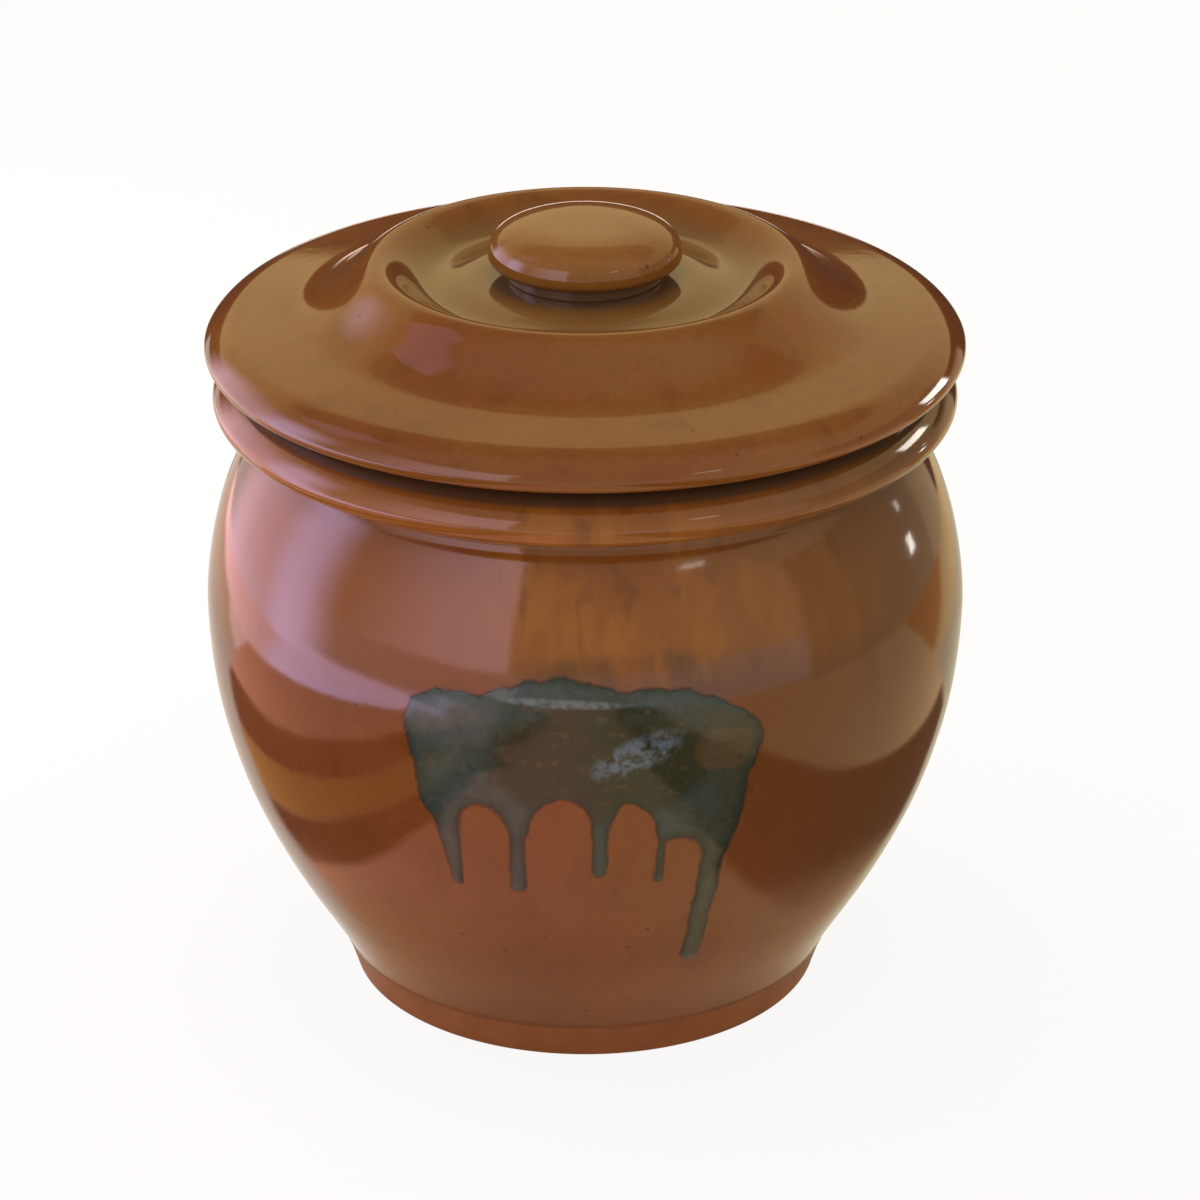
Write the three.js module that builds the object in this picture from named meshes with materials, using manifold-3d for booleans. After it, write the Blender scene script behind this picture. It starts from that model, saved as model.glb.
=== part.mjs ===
// A stoneware pickle crock: a thrown jar with a rolled rim, a lid with a raised ring round its knob,
// a second glaze poured over the front, and two half-moon weights that press the pickles down.
// Millimetres, +Z up. The origin is the middle of the foot on the table, and the pour faces -Y.

import * as THREE from 'three';
import { mergeVertices } from 'three/addons/utils/BufferGeometryUtils.js';
import Module from 'manifold-3d';

const wasm = await Module();
wasm.setup();

// Foot and base
const FOOT_RADIUS = 63.6; // at the table
const FOOT_TOP_RADIUS = 66.8; // where the wall starts
const FOOT_HEIGHT = 11;
const FOOT_EDGE_ROUND = 1.5;
const FOOT_RING_WIDTH = 9; // the ring that stands on the table
const BASE_RECESS = 3; // the hollow inside that ring
const FLOOR_THICKNESS = 9;
const FLOOR_FILLET = 11; // the round corner between the floor and the wall, inside

// Wall: two curves that meet at the belly; a lean is millimetres outward for each one of height
const WALL_THICKNESS = 7;
const WALL_START_LEAN = 0.47;
const WALL_START_REACH = 14; // how far up the starting lean is felt
const BELLY_RADIUS = 101;
const BELLY_HEIGHT = 108.4;
const BELLY_REACH_DOWN = 51; // how far below the belly the wall stays near upright
const BELLY_REACH_UP = 10.8;
const NECK_RADIUS = 86.8;
const NECK_HEIGHT = 155.5;
const SHOULDER_LEAN = 0.74;
const SHOULDER_REACH = 15;

// Rim: a groove under a rolled edge with a flat seat on top
const GROOVE_HEIGHT = 6.2;
const GROOVE_REACH = 2.4; // how far the wall's lean carries on into the groove
const RIM_OVERHANG = 11.1; // beyond the neck
const RIM_ROLL_WIDTH = 9.4;
const RIM_LOWER_ROUND = 5.5;
const RIM_UPPER_ROUND = 7.3;
const MOUTH_EDGE_ROUND = 3;

// Lid
const LID_OVERHANG = 1.8; // beyond the rim
const LID_EDGE_LIFT = 2.9; // the lid's lower edge stands this far above the seat
const LID_EDGE_THICKNESS = 9.2;
const LID_FLANGE_FALL = 6.5; // degrees, outward
const LID_THICKNESS = 8;
const LID_LAND_MARGIN = 1; // the lid's seat face runs this far past the rim's
const SPIGOT_DEPTH = 8; // the locating ring that drops into the mouth
const SPIGOT_THICKNESS = 6;
const SPIGOT_CLEARANCE = 1.2;
const SPIGOT_CHAMFER = 1.5;
const RING_RADIUS = 54.4; // crest of the raised ring
const RING_HEIGHT = 15.7; // above the lid's edge
const RING_OUTER_WIDTH = 22.6; // from the crest out to the flange
const RING_FOOT_REACH = 11; // how far the flange's fall is felt in the ring's outer slope
const RING_CREST_REACH = 5.5; // how far the slope stays near level at the crest
const RING_INNER_WIDTH = 14; // from the crest in to the lowest place of the moat
const MOAT_DEPTH = 6.3; // below the crest

// Knob
const KNOB_SEAT_RADIUS = 28; // the flat middle of the moat that the knob stands on
const KNOB_SEAT_RISE = 1.8; // above the lowest place of the moat
const KNOB_RADIUS = 25.4;
const KNOB_NECK_RADIUS = 20.5;
const KNOB_NECK_HEIGHT = 3; // from the seat to the cap's underside
const KNOB_LOWER_ROUND = 3; // from the underside to the cap's widest place
const KNOB_CROWN = 8.5; // from the widest place to the top
const KNOB_FLATNESS = 3.3; // power of the crown's curve: 2 is round, more is flatter

// Poured glaze, as seen from the front, X to the right
const POUR_THICKNESS = 0.5;
const POUR_GAP = 0.3; // between the coat's solid and the wall's
const POUR_WIDTH = 92;
const POUR_HEIGHT = 92.8; // from the crest to the end of the longest run
const POUR_TOP = 129.3;
const POUR_LEFT = -46.6;
// Its outline in shares: across from the left of its width, down from the crest of its height
const POUR_TOP_EDGE = [ // from right to left
  { across: 1, down: 0.224 },
  { across: 0.937, down: 0.129 },
  { across: 0.767, down: 0.046 },
  { across: 0.485, down: 0.003 },
  { across: 0.305, down: 0.008 },
  { across: 0.235, down: 0.046 },
  { across: 0.072, down: 0.064 },
  { across: 0, down: 0.165 },
];
const POUR_RUNS = [
  { root: 0.134, tip: 0.149, down: 0.713, width: 0.057 },
  { root: 0.326, tip: 0.323, down: 0.705, width: 0.066 },
  { root: 0.549, tip: 0.543, down: 0.636, width: 0.063 },
  { root: 0.715, tip: 0.707, down: 0.663, width: 0.039 },
  { root: 0.867, tip: 0.807, down: 1, width: 0.07 },
];
const POUR_ARCHES = [ // between one run and the next
  { foot: 0.51, down: 0.417 },
  { foot: 0.488, down: 0.38 },
  { foot: 0.488, down: 0.389 },
  { foot: 0.574, down: 0.52 },
];

// Half-moon weights
const WEIGHT_THICKNESS = 18;
const WEIGHT_MOUTH_CLEARANCE = 3; // they pass the mouth with this to spare all round
const WEIGHT_SEAT_GAP = 0.3; // to the tapering wall that carries them
const WEIGHT_CHAMFER = 5;
const WEIGHT_EDGE_ROUND = 3;
const WEIGHT_SPLIT_GAP = 2;
const WEIGHT_HOLE_RADIUS = 14; // finger hole, half in each weight

// Fineness
const TURN_SEGMENTS = 48;
const WALL_RINGS = 12;
const CURVE_STEPS = 6;
const SLOPE_STEPS = 6;
const HALVINGS = 50; // when a height is searched for

// Heights and radii that follow from the sizes above
const MOUTH_RADIUS = NECK_RADIUS - WALL_THICKNESS;
const RIM_RADIUS = NECK_RADIUS + RIM_OVERHANG;
const RIM_SEAT_RADIUS = RIM_RADIUS - RIM_ROLL_WIDTH;
const RIM_UNDERSIDE = NECK_HEIGHT + GROOVE_HEIGHT;
const RIM_MIDDLE = RIM_UNDERSIDE + RIM_LOWER_ROUND;
const RIM_TOP = RIM_MIDDLE + RIM_UPPER_ROUND;
const FLOOR_TOP = BASE_RECESS + FLOOR_THICKNESS;
const LID_RADIUS = RIM_RADIUS + LID_OVERHANG;
const LID_EDGE_BOTTOM = RIM_TOP + LID_EDGE_LIFT;
const LID_EDGE_TOP = LID_EDGE_BOTTOM + LID_EDGE_THICKNESS;
const RING_TOP = LID_EDGE_TOP + RING_HEIGHT;
const MOAT_FLOOR = RING_TOP - MOAT_DEPTH;
const KNOB_SEAT = MOAT_FLOOR + KNOB_SEAT_RISE;

const point = (radius, height) => new THREE.Vector2(radius, height);

/** Points along a curve after its first one, which ends the stretch before it. */
function along(curve, steps = CURVE_STEPS) {
  return curve.getPoints(steps).slice(1);
}

/** Part of an ellipse from one angle to another, in degrees, the way that the angles run. */
function arc(centre, halfWidth, halfHeight, from, to, steps = CURVE_STEPS) {
  const [start, end] = [from, to].map(THREE.MathUtils.degToRad);
  const curve = new THREE.EllipseCurve(centre.x, centre.y, halfWidth, halfHeight, start, end, end < start);
  return along(curve, steps);
}

/** A slope that leaves one point level and reaches the next level, as half a cosine wave. */
function easedSlope(from, to, steps = SLOPE_STEPS) {
  return Array.from({ length: steps }, (_, i) => {
    const share = (i + 1) / steps;
    const eased = (1 - Math.cos(Math.PI * share)) / 2;
    return point(THREE.MathUtils.lerp(from.x, to.x, share), THREE.MathUtils.lerp(from.y, to.y, eased));
  });
}

/** Turns an outline of radius and height about the Z axis. */
function turned(outline) {
  const geometry = new THREE.LatheGeometry(outline, TURN_SEGMENTS);
  return geometry.rotateX(Math.PI / 2);
}

/** The closed solid of a geometry, for joining and cutting. */
function solid(geometry) {
  const bare = geometry.clone();
  bare.deleteAttribute('normal');
  bare.deleteAttribute('uv');
  const merged = mergeVertices(bare);
  const corners = merged.index.array;
  const triangles = [];
  for (let i = 0; i < corners.length; i += 3) {
    const [a, b, c] = corners.slice(i, i + 3);
    if (a !== b && b !== c && c !== a) {
      triangles.push(a, b, c);
    }
  }
  const mesh = new wasm.Mesh({
    numProp: 3,
    vertProperties: Float32Array.from(merged.attributes.position.array),
    triVerts: Uint32Array.from(triangles),
  });
  return new wasm.Manifold(mesh);
}

/** The geometry of a solid after joining and cutting. */
function geometryOf(body) {
  const mesh = body.getMesh();
  const geometry = new THREE.BufferGeometry();
  geometry.setAttribute('position', new THREE.BufferAttribute(mesh.vertProperties, 3));
  geometry.setIndex(new THREE.BufferAttribute(mesh.triVerts, 1));
  geometry.computeVertexNormals();
  return geometry;
}

const wallStart = point(FOOT_TOP_RADIUS, FOOT_HEIGHT);
const belly = point(BELLY_RADIUS, BELLY_HEIGHT);
const neck = point(NECK_RADIUS, NECK_HEIGHT);
const lowerWall = new THREE.CubicBezierCurve(
  wallStart,
  point(FOOT_TOP_RADIUS + WALL_START_REACH * WALL_START_LEAN, FOOT_HEIGHT + WALL_START_REACH),
  point(BELLY_RADIUS, BELLY_HEIGHT - BELLY_REACH_DOWN),
  belly,
);
const upperWall = new THREE.CubicBezierCurve(
  belly,
  point(BELLY_RADIUS, BELLY_HEIGHT + BELLY_REACH_UP),
  point(NECK_RADIUS + SHOULDER_REACH * SHOULDER_LEAN, NECK_HEIGHT - SHOULDER_REACH),
  neck,
);

/** Finds where a rising or falling function of one number passes a value, by halving the span. */
function solve(rule, wanted, low, high) {
  const rising = rule(high) > rule(low);
  for (let i = 0; i < HALVINGS; i += 1) {
    const middle = (low + high) / 2;
    if (rule(middle) < wanted === rising) {
      low = middle;
    } else {
      high = middle;
    }
  }
  return (low + high) / 2;
}

/** The wall's outside moved outward, square to itself, by a distance, at a height on the wall. */
function wallRadius(height, outward = 0) {
  const curve = height < BELLY_HEIGHT ? lowerWall : upperWall;
  const share = solve((t) => curve.getPoint(t).y, height, 0, 1);
  const direction = curve.getTangent(share);
  return curve.getPoint(share).x + outward * Math.hypot(1, direction.x / direction.y);
}

const innerRadius = (height) => wallRadius(height, -WALL_THICKNESS);

/** Heights from one level to another, both included. */
function levels(from, to, steps) {
  return Array.from({ length: steps + 1 }, (_, i) => THREE.MathUtils.lerp(from, to, i / steps));
}

const wallLevels = levels(FOOT_HEIGHT, NECK_HEIGHT, WALL_RINGS);

/** Foot, wall and rolled rim outside; mouth, wall and floor inside. */
function crockGeometry() {
  const footInside = FOOT_RADIUS - FOOT_RING_WIDTH;
  const mouthFoot = solve(innerRadius, MOUTH_RADIUS, BELLY_HEIGHT, NECK_HEIGHT);
  const floorCorner = FLOOR_TOP + FLOOR_FILLET;
  const floorEdge = innerRadius(FLOOR_TOP);
  const groove = new THREE.CubicBezierCurve(
    neck,
    point(NECK_RADIUS - GROOVE_REACH * SHOULDER_LEAN, NECK_HEIGHT + GROOVE_REACH),
    point(RIM_SEAT_RADIUS - GROOVE_REACH, RIM_UNDERSIDE),
    point(RIM_SEAT_RADIUS, RIM_UNDERSIDE),
  );
  const fillet = new THREE.QuadraticBezierCurve(
    point(innerRadius(floorCorner), floorCorner),
    point(floorEdge, FLOOR_TOP),
    point(floorEdge - FLOOR_FILLET, FLOOR_TOP),
  );
  const rollCentre = point(RIM_SEAT_RADIUS, RIM_MIDDLE);
  const mouthRound = point(MOUTH_RADIUS + MOUTH_EDGE_ROUND, RIM_TOP - MOUTH_EDGE_ROUND);
  return turned([
    point(0, BASE_RECESS),
    point(footInside - BASE_RECESS, BASE_RECESS),
    point(footInside, 0),
    point(FOOT_RADIUS - FOOT_EDGE_ROUND, 0),
    point(FOOT_RADIUS, FOOT_EDGE_ROUND),
    ...wallLevels.map((height) => point(wallRadius(height), height)),
    ...along(groove),
    ...arc(rollCentre, RIM_ROLL_WIDTH, RIM_LOWER_ROUND, -90, 0),
    ...arc(rollCentre, RIM_ROLL_WIDTH, RIM_UPPER_ROUND, 0, 90),
    point(mouthRound.x, RIM_TOP),
    ...arc(mouthRound, MOUTH_EDGE_ROUND, MOUTH_EDGE_ROUND, 90, 180, CURVE_STEPS / 2),
    ...levels(mouthFoot, floorCorner, WALL_RINGS).map((height) => point(innerRadius(height), height)),
    ...along(fillet),
    point(0, FLOOR_TOP),
  ]);
}

/** Flange with a rounded edge, raised ring and moat on top; hollow with a locating ring below. */
function lidGeometry() {
  const edgeHalf = LID_EDGE_THICKNESS / 2;
  const edgeCentre = point(LID_RADIUS - edgeHalf, LID_EDGE_BOTTOM + edgeHalf);
  const edge = arc(edgeCentre, edgeHalf, edgeHalf, -90, 90 - LID_FLANGE_FALL, CURVE_STEPS + 2);
  const spigotOutside = MOUTH_RADIUS - SPIGOT_CLEARANCE;
  const spigotInside = spigotOutside - SPIGOT_THICKNESS;
  const spigotBottom = RIM_TOP - SPIGOT_DEPTH;
  const moatLow = point(RING_RADIUS - RING_INNER_WIDTH, MOAT_FLOOR);
  const crest = point(RING_RADIUS, RING_TOP);
  const inward = point(-1, Math.tan(THREE.MathUtils.degToRad(LID_FLANGE_FALL)));
  const flangeWidth = edge.at(-1).x - RING_RADIUS - RING_OUTER_WIDTH;
  const ringFoot = edge.at(-1).clone().addScaledVector(inward, flangeWidth);
  const outerSlope = new THREE.CubicBezierCurve(
    ringFoot,
    ringFoot.clone().addScaledVector(inward, RING_FOOT_REACH),
    point(RING_RADIUS + RING_CREST_REACH, RING_TOP),
    crest,
  );
  const below = (above) => point(above.x, above.y - LID_THICKNESS);
  return turned([
    below(point(0, MOAT_FLOOR)),
    below(moatLow),
    ...easedSlope(below(moatLow), below(crest)),
    ...easedSlope(below(crest), below(point(spigotInside, ringFoot.y))),
    point(spigotInside, spigotBottom),
    point(spigotOutside - SPIGOT_CHAMFER, spigotBottom),
    point(spigotOutside, spigotBottom + SPIGOT_CHAMFER),
    point(spigotOutside, RIM_TOP),
    point(RIM_SEAT_RADIUS + LID_LAND_MARGIN, RIM_TOP),
    point(edgeCentre.x, LID_EDGE_BOTTOM),
    ...edge,
    ringFoot,
    ...along(outerSlope, SLOPE_STEPS + 2),
    ...easedSlope(crest, moatLow),
    ...easedSlope(moatLow, point(KNOB_SEAT_RADIUS, KNOB_SEAT), CURVE_STEPS / 2),
    point(0, KNOB_SEAT),
  ]);
}

/** A short neck on its seat in the moat, under a pebble of a cap with a flattened crown. */
function knobGeometry() {
  const capBottom = KNOB_SEAT + KNOB_NECK_HEIGHT;
  const widest = capBottom + KNOB_LOWER_ROUND;
  const overhang = KNOB_RADIUS - KNOB_NECK_RADIUS;
  const crown = levels(0, Math.PI / 2, CURVE_STEPS + 2).slice(1, -1).reverse();
  return turned([
    point(0, KNOB_SEAT),
    point(KNOB_NECK_RADIUS, KNOB_SEAT),
    point(KNOB_NECK_RADIUS, capBottom),
    ...arc(point(KNOB_NECK_RADIUS, widest), overhang, KNOB_LOWER_ROUND, -90, 0, CURVE_STEPS / 2),
    ...crown.map((angle) => point(
      KNOB_RADIUS * Math.sin(angle) ** (2 / KNOB_FLATNESS),
      widest + KNOB_CROWN * Math.cos(angle) ** (2 / KNOB_FLATNESS),
    )),
    point(0, widest + KNOB_CROWN),
  ]);
}

/** The pour's outline seen from the front: round-ended runs below and a wavy edge above. */
function pourOutline() {
  const across = (share) => POUR_LEFT + share * POUR_WIDTH;
  const down = (share) => POUR_TOP - share * POUR_HEIGHT;
  const topEdge = POUR_TOP_EDGE.map((place) => point(across(place.across), down(place.down)));
  const shape = new THREE.Shape();
  shape.moveTo(topEdge.at(-1).x, topEdge.at(-1).y);
  POUR_RUNS.forEach((run, i) => {
    const half = run.width * POUR_WIDTH / 2;
    const end = point(across(run.tip), down(run.down) + half);
    shape.lineTo(end.x - half, end.y);
    shape.absarc(end.x, end.y, half, Math.PI, 2 * Math.PI, false);
    if (i < POUR_ARCHES.length) {
      const next = POUR_RUNS[i + 1];
      const foot = down(POUR_ARCHES[i].foot);
      const rise = down(POUR_ARCHES[i].down) - foot;
      const left = across(run.root + run.width / 2);
      const right = across(next.root - next.width / 2);
      shape.lineTo(left, foot);
      shape.absellipse((left + right) / 2, foot, (right - left) / 2, rise, Math.PI, 0, true);
    }
  });
  shape.lineTo(topEdge[0].x, topEdge[0].y);
  shape.splineThru(topEdge.slice(1));
  return shape;
}

/** A thin coat that follows the front of the wall inside the pour's outline. */
function pourGeometry() {
  const inside = wallLevels.map((height) => point(wallRadius(height, POUR_GAP), height));
  const outside = wallLevels.map((height) => point(wallRadius(height, POUR_GAP + POUR_THICKNESS), height));
  const loop = [...outside, ...inside.reverse()];
  const coat = turned([...loop, loop[0]]);
  const forward = { depth: 2 * BELLY_RADIUS, bevelEnabled: false, curveSegments: CURVE_STEPS };
  const prism = new THREE.ExtrudeGeometry(pourOutline(), forward).rotateX(Math.PI / 2);
  return geometryOf(solid(coat).intersect(solid(prism)));
}

/** One half of a round plate that rests on the tapering wall; side is -1 for left and 1 for right. */
function weightGeometry(side) {
  const radius = MOUTH_RADIUS - WEIGHT_MOUTH_CLEARANCE;
  const room = (height) => innerRadius(height) - WEIGHT_SEAT_GAP;
  const seat = solve(room, radius, FLOOR_TOP, BELLY_HEIGHT);
  const bottom = seat - WEIGHT_CHAMFER;
  const top = bottom + WEIGHT_THICKNESS;
  const disc = turned([
    point(0, bottom),
    point(room(bottom), bottom),
    point(radius, seat),
    point(radius, top - WEIGHT_EDGE_ROUND),
    point(radius - WEIGHT_EDGE_ROUND, top),
    point(0, top),
  ]);
  const wide = 2 * radius;
  const tall = 2 * WEIGHT_THICKNESS;
  const middle = (bottom + top) / 2;
  const otherHalf = new THREE.BoxGeometry(wide, 2 * wide, tall);
  otherHalf.translate(side * (WEIGHT_SPLIT_GAP / 2 - radius), 0, middle);
  const hole = new THREE.CylinderGeometry(WEIGHT_HOLE_RADIUS, WEIGHT_HOLE_RADIUS, tall, TURN_SEGMENTS / 2);
  hole.rotateX(Math.PI / 2).translate(0, 0, middle);
  return geometryOf(solid(disc).subtract(solid(otherHalf)).subtract(solid(hole)));
}

const glaze = (color, roughness) => new THREE.MeshStandardMaterial({ color, roughness, metalness: 0 });

/** Names a piece and gives it its glaze. */
function piece(name, geometry, material) {
  const mesh = new THREE.Mesh(geometry, material);
  mesh.name = name;
  return mesh;
}

const lidWithKnob = new THREE.Group();
lidWithKnob.add(
  piece('lid', lidGeometry(), glaze(0x8f5f37, 0.2)),
  piece('lid_knob', knobGeometry(), glaze(0x97754a, 0.2)),
);

const pickleCrock = new THREE.Group();
pickleCrock.add(
  piece('crock', crockGeometry(), glaze(0x855030, 0.2)),
  piece('glaze_pour', pourGeometry(), glaze(0x555652, 0.3)),
  lidWithKnob,
  piece('weight_left', weightGeometry(-1), glaze(0x7a4c32, 0.35)),
  piece('weight_right', weightGeometry(1), glaze(0x7a4c32, 0.35)),
);

export default pickleCrock;
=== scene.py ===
import math

import bpy
import numpy as np
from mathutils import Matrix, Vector


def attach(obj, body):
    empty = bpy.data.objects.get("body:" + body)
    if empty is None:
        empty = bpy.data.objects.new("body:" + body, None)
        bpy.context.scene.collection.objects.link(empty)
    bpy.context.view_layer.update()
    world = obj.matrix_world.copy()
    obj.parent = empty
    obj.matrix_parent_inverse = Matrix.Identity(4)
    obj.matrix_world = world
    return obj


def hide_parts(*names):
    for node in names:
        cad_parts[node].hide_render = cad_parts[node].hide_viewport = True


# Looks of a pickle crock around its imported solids, in their frame: +Z up, the poured glaze faces -Y.
# Every piece is a surface worked out from sizes close to those of the solids. Sizes and places are in
# millimetres here, and they become metres where a piece, a lamp or the camera is made.

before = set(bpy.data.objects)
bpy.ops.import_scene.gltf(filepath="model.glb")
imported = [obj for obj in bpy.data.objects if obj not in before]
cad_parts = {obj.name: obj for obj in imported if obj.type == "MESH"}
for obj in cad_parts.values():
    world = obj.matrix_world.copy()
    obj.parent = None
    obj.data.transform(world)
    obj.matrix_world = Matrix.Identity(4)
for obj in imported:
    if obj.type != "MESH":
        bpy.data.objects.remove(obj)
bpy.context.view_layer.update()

MM = 0.001

# Foot and wall
FOOT_RADIUS = 63.6
FOOT_TOP = np.array((66.8, 11.0))
FOOT_EDGE_ROUND = 1.5
FOOT_RING_INSIDE = 54.6
BASE_RECESS = 3.0
FLOOR_TOP = 12.0
FLOOR_FILLET = 11.0
FLOOR_CORNER_STEP = 5.0  # from the lowest point of the inner wall to the floor's corner
WALL_THICKNESS = 7.0
WALL_START_HANDLE = np.array((73.38, 25.0))
BELLY = np.array((101.0, 108.4))
BELLY_REACH_DOWN = 51.0
BELLY_REACH_UP = 10.8
NECK = np.array((86.8, 155.5))
NECK_HANDLE = np.array((97.9, 140.5))
GLAZE_STEP = 0.3  # the glaze ends this thick above the wiped foot
GLAZE_END_DROP = 0.9  # and this far below the foot's top

# The wall's unevenness: heights between which it starts and ends, and the rings inside
UNEVEN_START = (11.0, 20.0)
UNEVEN_END = (148.0, 155.0)
INSIDE_RINGS_START = (24.0, 34.0)
INSIDE_RING_DEPTH = 0.12
INSIDE_RING_PITCH = 1.1  # per radian of its wave

# Rim
GROOVE_HANDLE = np.array((85.02, 157.9))
GROOVE_REACH = 2.4
RIM_UNDERSIDE = 161.7
RIM_TOP = 174.5
RIM_SEAT_RADIUS = 88.5
RIM_RADIUS = 97.9
RIM_LOWER_ROUND = 4.66
EDGE_SLANT = 33.0  # degrees: where the small round of the rim or the lid's edge meets the large one
MOUTH_RADIUS = 79.8
MOUTH_EDGE_ROUND = 3.0

# Lid and knob
LID_RADIUS = 99.7
LID_EDGE_BOTTOM = 177.4
LID_LOWER_ROUND = 3.0
LID_SEAT_RADIUS = 89.5
FLANGE_EDGE = np.array((95.6, 186.57))
FLANGE_FALL = 6.5  # degrees
RING_FOOT_RADIUS = 77.0
RING_FOOT_REACH = 11.0
RING_CREST = np.array((54.4, 202.3))
RING_CREST_REACH = 5.5
MOAT_LOW = np.array((40.4, 196.0))
MOAT_SEAT = np.array((28.0, 197.8))
HOLLOW_EDGE = 180.8
LID_THICKNESS = 8.0
SPIGOT_OUTSIDE = 78.6
SPIGOT_INSIDE = 72.6
SPIGOT_BOTTOM = 166.5
SPIGOT_ROUND = 1.5
KNOB_RADIUS = 25.4
KNOB_NECK_RADIUS = 20.5
KNOB_CAP_BOTTOM = 200.8
KNOB_WIDEST = 203.8
KNOB_TOP = 212.3
KNOB_FLATNESS = 4.5
KNOB_SIDE_ROUNDNESS = 2.3
KNOB_LEVEL_SHARE = 0.1  # share of its radius that is level on top

# Half-moon weights
WEIGHT_RADIUS = 76.8
WEIGHT_BOTTOM = 37.86
WEIGHT_THICKNESS = 18.0
WEIGHT_SPLIT = 1.0
WEIGHT_HOLE_RADIUS = 14.0
WEIGHT_ROUND = 3.0
WEIGHT_CHAMFER = 5.0
WEIGHT_CHAMFER_WIDTH = 2.6
WEIGHT_CHAMFER_HANDLE = np.array((1.2, 2.6))
WEIGHT_CORNER = 12.0
WEIGHT_FLAT_EDGE = 0.15  # flat strip between the rounds and the one large face inside them

# Poured glaze seen from the front: x to the right, height up
POUR_TOP_EDGE = np.array((
    (-50, 108), (-46.5, 116.4), (-43.4, 121.2), (-39.5, 123.2), (-33, 124.2), (-25, 124.4),
    (-20.5, 125.6), (-17, 127.9), (-10, 129), (-2.9, 128.8), (3, 127), (9, 126.5),
    (17.9, 126), (25.8, 124.8), (32.9, 121.8), (39.6, 117.9), (44, 114.2), (49, 107),
))
POUR_LOWER_EDGE = np.array((
    (-46, 88.5), (-27, 91.4), (-15, 93), (-5, 94.6), (11, 93.8), (17, 91), (22, 82.6),
    (36, 80),
))
POUR_LEFT_EDGE = np.array(((-35, 66), (-36.9, 72.8), (-46.2, 111), (-47.2, 120)))
POUR_RIGHT_EDGE = np.array(((36.1, 71.3), (38.4, 88.5), (42.4, 99), (46.2, 109), (47.2, 120)))
POUR_RUNS = (  # x, height and half-width where a run leaves the sheet, at its throat and at its drop
    ((-36.2, 92, 4.2), (-34, 80, 3.2), (-32.5, 66.6, 1.8)),
    ((-17.4, 94, 5.6), (-17, 82, 2.4), (-17, 67.2, 2.7)),
    ((4.2, 95, 4.2), (4, 84, 2.6), (3.5, 72.5, 2.5)),
    ((20.6, 92, 3.2), (19.4, 81, 1.4), (18.5, 69.4, 1.8)),
    ((34.4, 92, 4.6), (32.8, 76, 3.5), (27, 39.6, 2.9)),
)
POUR_LUMPS = (  # thickness, place, half-sizes and turn in radians: a ridge near the top and two lumps
    (0.3, (-4, 121.5), (17, 1.7), -0.02),
    (0.3, (13, 108), (11, 2.6), 0.4),
    (0.12, (-24, 102), (9, 2.4), 0.15),
)
POUR_EDGE_BLEND = 6.0
POUR_RUN_BLEND = 7.0
POUR_THICKNESS = 0.28
POUR_EDGE_GROWTH = 1.7  # the coat reaches most of its thickness this far inside its edge
POUR_LUMP_RISE = 2.2  # and its lumps all of theirs
POUR_EDGE_SINK = 0.03
POUR_DROP = 0.3
POUR_UNDERSIDE = 0.4
POUR_HALF_ANGLE = 30.5  # degrees that the grid reaches to either side
POUR_HEIGHTS = (33.0, 133.0)
POUR_CELL = 0.55
POUR_SNAP = 0.62  # share of a cell from which a grid point moves onto the outline
POUR_LEAST_SLOPE = 0.2

# Points round the axis or along an outline
CROCK_COLUMNS = 216
LID_COLUMNS = 256
KNOB_COLUMNS = 160
WEIGHT_COLUMNS = 360
CARD_COLUMNS = 32
TABLE_COLUMNS = 64

# Glaze tones: light, middle and dark
RED_BROWN = ((0.162, 0.051, 0.016), (0.132, 0.041, 0.0125), (0.085, 0.024, 0.008))
OCHRE = ((0.17, 0.067, 0.0125), (0.147, 0.045, 0.0095), (0.09, 0.024, 0.006))
HONEY = ((0.195, 0.086, 0.019), (0.165, 0.065, 0.015), (0.1, 0.03, 0.008))
SATIN_BROWN = ((0.2, 0.07, 0.02), (0.165, 0.052, 0.016), (0.09, 0.027, 0.01))

# Other tones of the brown glazes and the clay, and the painted shade on them
IRON_SPECK = (0.03, 0.012, 0.006)
WARM_BROWN = (0.22, 0.068, 0.015)
RUN_OCHRE = (0.25, 0.094, 0.018)
RUN_DARK = (0.07, 0.028, 0.01)
HALO_DARK = (0.05, 0.027, 0.013)
# painted shade: the right side's glaze darker and more olive, as less light falls on it
RIGHT_OLIVE = (0.083, 0.043, 0.015)
THIN_GLAZE = (0.28, 0.11, 0.03)
POOLED_GLAZE = (0.09, 0.025, 0.008)
FOOT_SLIP = ((0.2, 0.066, 0.018), (0.165, 0.05, 0.014))
# painted shade in the gap under the lid: on the rim's top and on the lid's underside
CROCK_GAP = (0.05, 0.038, 0.03)
LID_GAP = (0.03, 0.022, 0.017)
MOAT_OLIVE = (0.145, 0.088, 0.034)
RED_BLUSH = (0.17, 0.04, 0.009)
KNOB_SHADE = (0.11, 0.065, 0.045)
RUBBED_EDGE = (0.28, 0.14, 0.065)
CLAY_BUFF = (0.30, 0.155, 0.078)
CLAY_RUST = (0.21, 0.085, 0.036)
CLAY_GRAIN = (0.12, 0.055, 0.03)
CLAY_SPECK = (0.05, 0.025, 0.015)
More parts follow.
